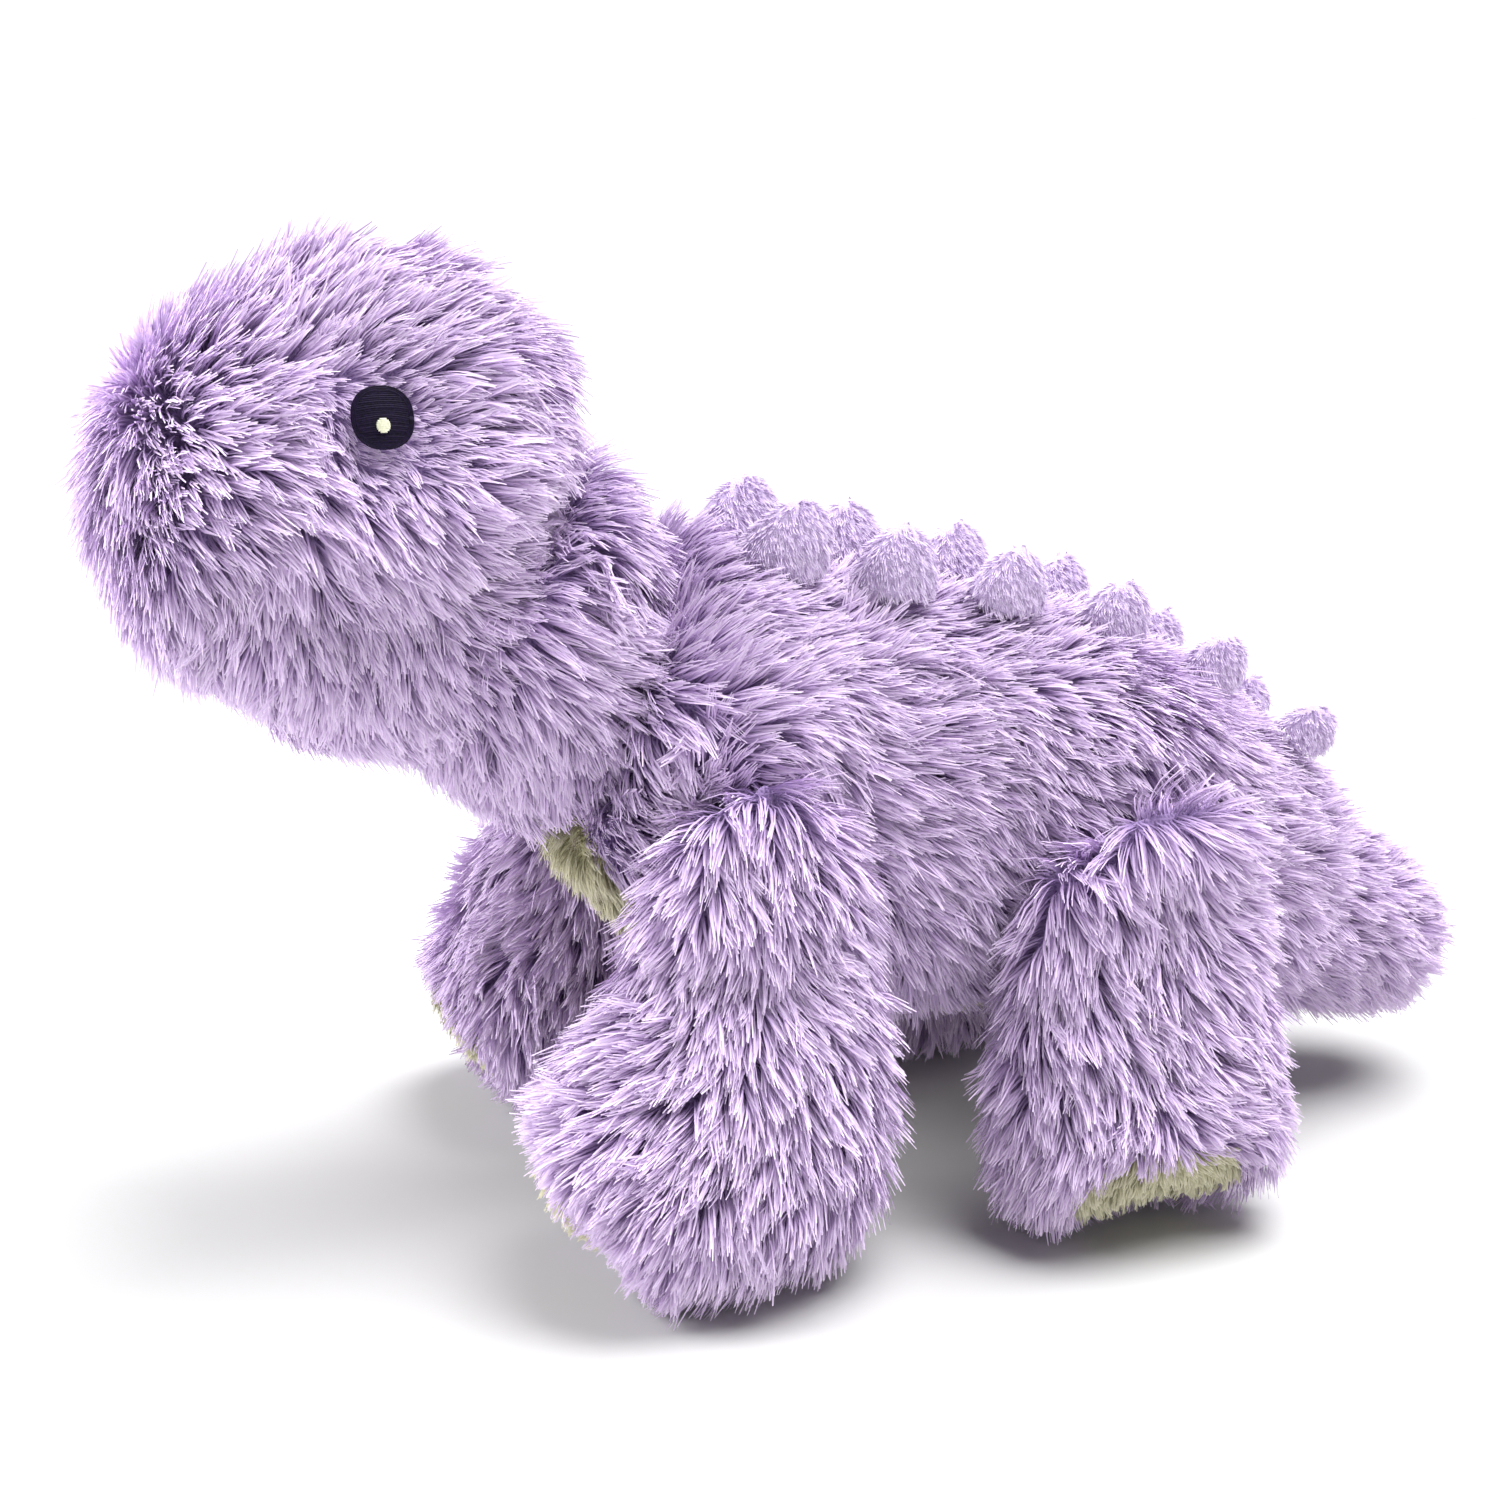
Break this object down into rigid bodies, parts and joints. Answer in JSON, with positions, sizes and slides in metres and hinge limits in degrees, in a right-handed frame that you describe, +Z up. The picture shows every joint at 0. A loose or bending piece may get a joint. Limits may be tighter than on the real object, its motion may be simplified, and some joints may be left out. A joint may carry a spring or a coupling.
{
  "type": "stuffed dinosaur",
  "caption": "Long-necked stuffed dinosaur in long-pile lilac plush, with cream belly and soles, embroidered eyes and rows of small stuffed spikes; neck, head, legs and tail bend at the seams.",
  "frame": {"origin": "on the floor, under the middle of the toy's length and width", "axes": "nose towards -X, tail towards +X, +Z up; the toy's left side is -Y"},
  "size_m": [0.3419, 0.164, 0.2145],
  "materials": {
    "lilac_plush": "long-pile polyester plush, matt with a soft sheen",
    "short_pile_plush": "short-pile polyester plush",
    "cream_plush": "medium-pile cream plush",
    "eye_thread": "satin-stitched embroidery thread",
    "cream_thread": "satin-stitched embroidery thread",
    "fibre_filling": "loose polyester fibre",
    "liner_cloth": "plain woven cotton",
    "grain": "loose dry grain"
  },
  "bodies": {
    "trunk": {"trunk_left_panel": "lilac_plush", "trunk_right_panel": "lilac_plush", "back_panel": "lilac_plush", "belly_panel": "cream_plush", "grain_bag_left": "liner_cloth", "grain_bag_right": "liner_cloth", "grain_fill": "grain", "spike_left_1": "short_pile_plush", "spike_left_2": "short_pile_plush", "spike_left_3": "short_pile_plush", "spike_left_4": "short_pile_plush", "spike_left_5": "short_pile_plush", "spike_left_6": "short_pile_plush", "spike_right_1": "short_pile_plush", "spike_right_2": "short_pile_plush", "spike_right_3": "short_pile_plush", "spike_right_4": "short_pile_plush", "spike_right_5": "short_pile_plush", "spike_right_6": "short_pile_plush"},
    "neck": {"neck_left_panel": "lilac_plush", "neck_right_panel": "lilac_plush", "neck_stuffing": "fibre_filling"},
    "head": {"head_left_panel": "lilac_plush", "head_right_panel": "lilac_plush", "crown_panel": "lilac_plush", "lower_jaw_panel": "lilac_plush", "head_stuffing": "fibre_filling", "eye_left": "eye_thread", "eye_right": "eye_thread", "eye_glint_left": "cream_thread", "eye_glint_right": "cream_thread"},
    "front_leg_left": {"front_leg_left_outer_panel": "lilac_plush", "front_leg_left_inner_panel": "lilac_plush", "front_leg_left_sole": "cream_plush", "front_leg_left_stuffing": "fibre_filling"},
    "front_leg_right": {"front_leg_right_outer_panel": "lilac_plush", "front_leg_right_inner_panel": "lilac_plush", "front_leg_right_sole": "cream_plush", "front_leg_right_stuffing": "fibre_filling"},
    "hind_leg_left": {"hind_leg_left_outer_panel": "lilac_plush", "hind_leg_left_inner_panel": "lilac_plush", "hind_leg_left_sole": "cream_plush", "hind_leg_left_stuffing": "fibre_filling"},
    "hind_leg_right": {"hind_leg_right_outer_panel": "lilac_plush", "hind_leg_right_inner_panel": "lilac_plush", "hind_leg_right_sole": "cream_plush", "hind_leg_right_stuffing": "fibre_filling"},
    "tail": {"tail_left_panel": "lilac_plush", "tail_right_panel": "lilac_plush", "tail_stuffing": "fibre_filling"}
  },
  "joints": [
    {"name": "neck_nod", "type": "hinge", "parent": "trunk", "child": "neck", "pos_m": [-0.06, 0, 0.118], "axis": [0, 1, 0], "range_deg": [-18, 15]},
    {"name": "head_turn", "type": "hinge", "parent": "neck", "child": "head", "pos_m": [-0.091, 0, 0.144], "axis": [-0.8387, 0, 0.5446], "range_deg": [-30, 30]},
    {"name": "front_left_swing", "type": "hinge", "parent": "trunk", "child": "front_leg_left", "pos_m": [-0.045, -0.0368, 0.088], "axis": [0, 1, 0], "range_deg": [-20, 20]},
    {"name": "front_right_swing", "type": "hinge", "parent": "trunk", "child": "front_leg_right", "pos_m": [-0.045, 0.0368, 0.088], "axis": [0, 1, 0], "range_deg": [-20, 20]},
    {"name": "hind_left_swing", "type": "hinge", "parent": "trunk", "child": "hind_leg_left", "pos_m": [0.047, -0.0368, 0.078], "axis": [0, 1, 0], "range_deg": [-15, 15]},
    {"name": "hind_right_swing", "type": "hinge", "parent": "trunk", "child": "hind_leg_right", "pos_m": [0.047, 0.0368, 0.078], "axis": [0, 1, 0], "range_deg": [-15, 15]},
    {"name": "tail_wag", "type": "hinge", "parent": "trunk", "child": "tail", "pos_m": [0.112, 0, 0.054], "axis": [0, 0, 1], "range_deg": [-20, 20]}
  ]
}
